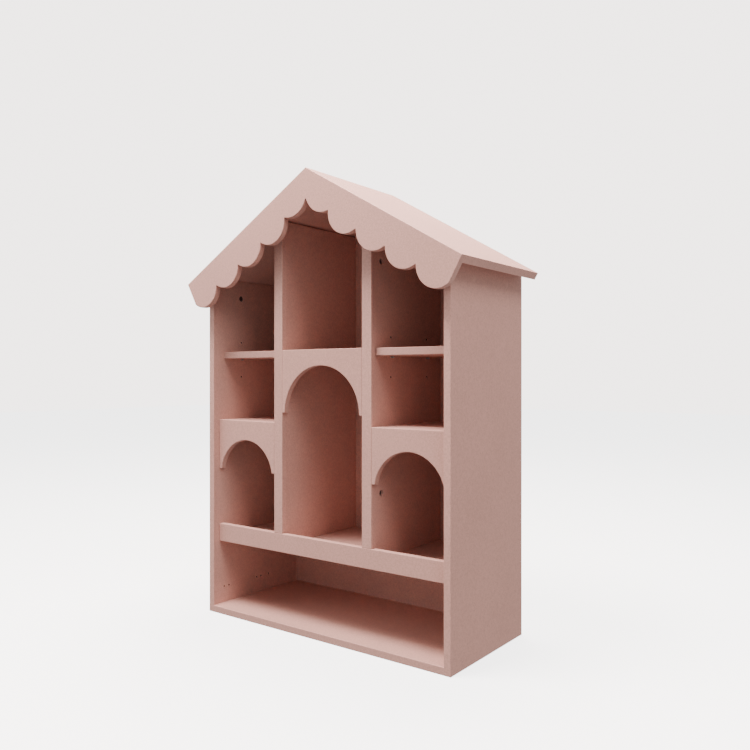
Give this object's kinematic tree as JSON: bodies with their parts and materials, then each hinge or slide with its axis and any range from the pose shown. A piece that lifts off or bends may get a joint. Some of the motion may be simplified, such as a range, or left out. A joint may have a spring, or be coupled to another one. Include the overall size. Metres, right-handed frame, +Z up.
{
  "type": "dollhouse shelf",
  "caption": "Open-fronted wooden dollhouse with arched bays, two loose shelves on pins, a pitched roof and a scalloped gable board.",
  "frame": {"origin": "on the floor, under the middle of the whole footprint, eaves and fascia included", "axes": "+Z up, the open front faces -Y, +X to the right as seen from the front"},
  "size_m": [0.577, 0.248, 0.7605],
  "materials": {
    "painted_board": "sprayed satin lacquer on fibreboard, dusty rose, finely grained",
    "bare_beech": "bare beech, smooth",
    "zinc_cam": "dull dark die-cast zinc",
    "steel": "zinc-plated steel"
  },
  "bodies": {
    "house": {"arch_panel_dowels": "bare_beech", "arch_shelf_dowels": "bare_beech", "back_panel": "painted_board", "back_screws": "steel", "bottom_panel": "painted_board", "carcass_dowels": "bare_beech", "centre_arch_panel": "painted_board", "centre_arch_shelf": "painted_board", "divider_dowels": "bare_beech", "fascia_dowels": "bare_beech", "floor_shelf": "painted_board", "front_rail": "painted_board", "left_arch_panel": "painted_board", "left_arch_shelf": "painted_board", "left_divider": "painted_board", "left_post": "painted_board", "left_roof_board": "painted_board", "left_shelf_pins": "steel", "left_side_panel": "painted_board", "post_cam_bolts": "steel", "post_cam_locks": "zinc_cam", "rail_dowels": "bare_beech", "ridge_tongue": "bare_beech", "right_arch_panel": "painted_board", "right_arch_shelf": "painted_board", "right_divider": "painted_board", "right_post": "painted_board", "right_roof_board": "painted_board", "right_shelf_pins": "steel", "right_side_panel": "painted_board", "roof_cam_bolts": "steel", "roof_cam_locks": "zinc_cam", "scalloped_fascia": "painted_board"},
    "left_shelf": {"left_upper_shelf": "painted_board"},
    "right_shelf": {"right_upper_shelf": "painted_board"}
  },
  "joints": [
    {"name": "left_shelf_slide", "type": "slide", "parent": "house", "child": "left_shelf", "axis": [0, -1, 0], "range_m": [0, 0.19]},
    {"name": "right_shelf_slide", "type": "slide", "parent": "house", "child": "right_shelf", "axis": [0, -1, 0], "range_m": [0, 0.19]}
  ]
}
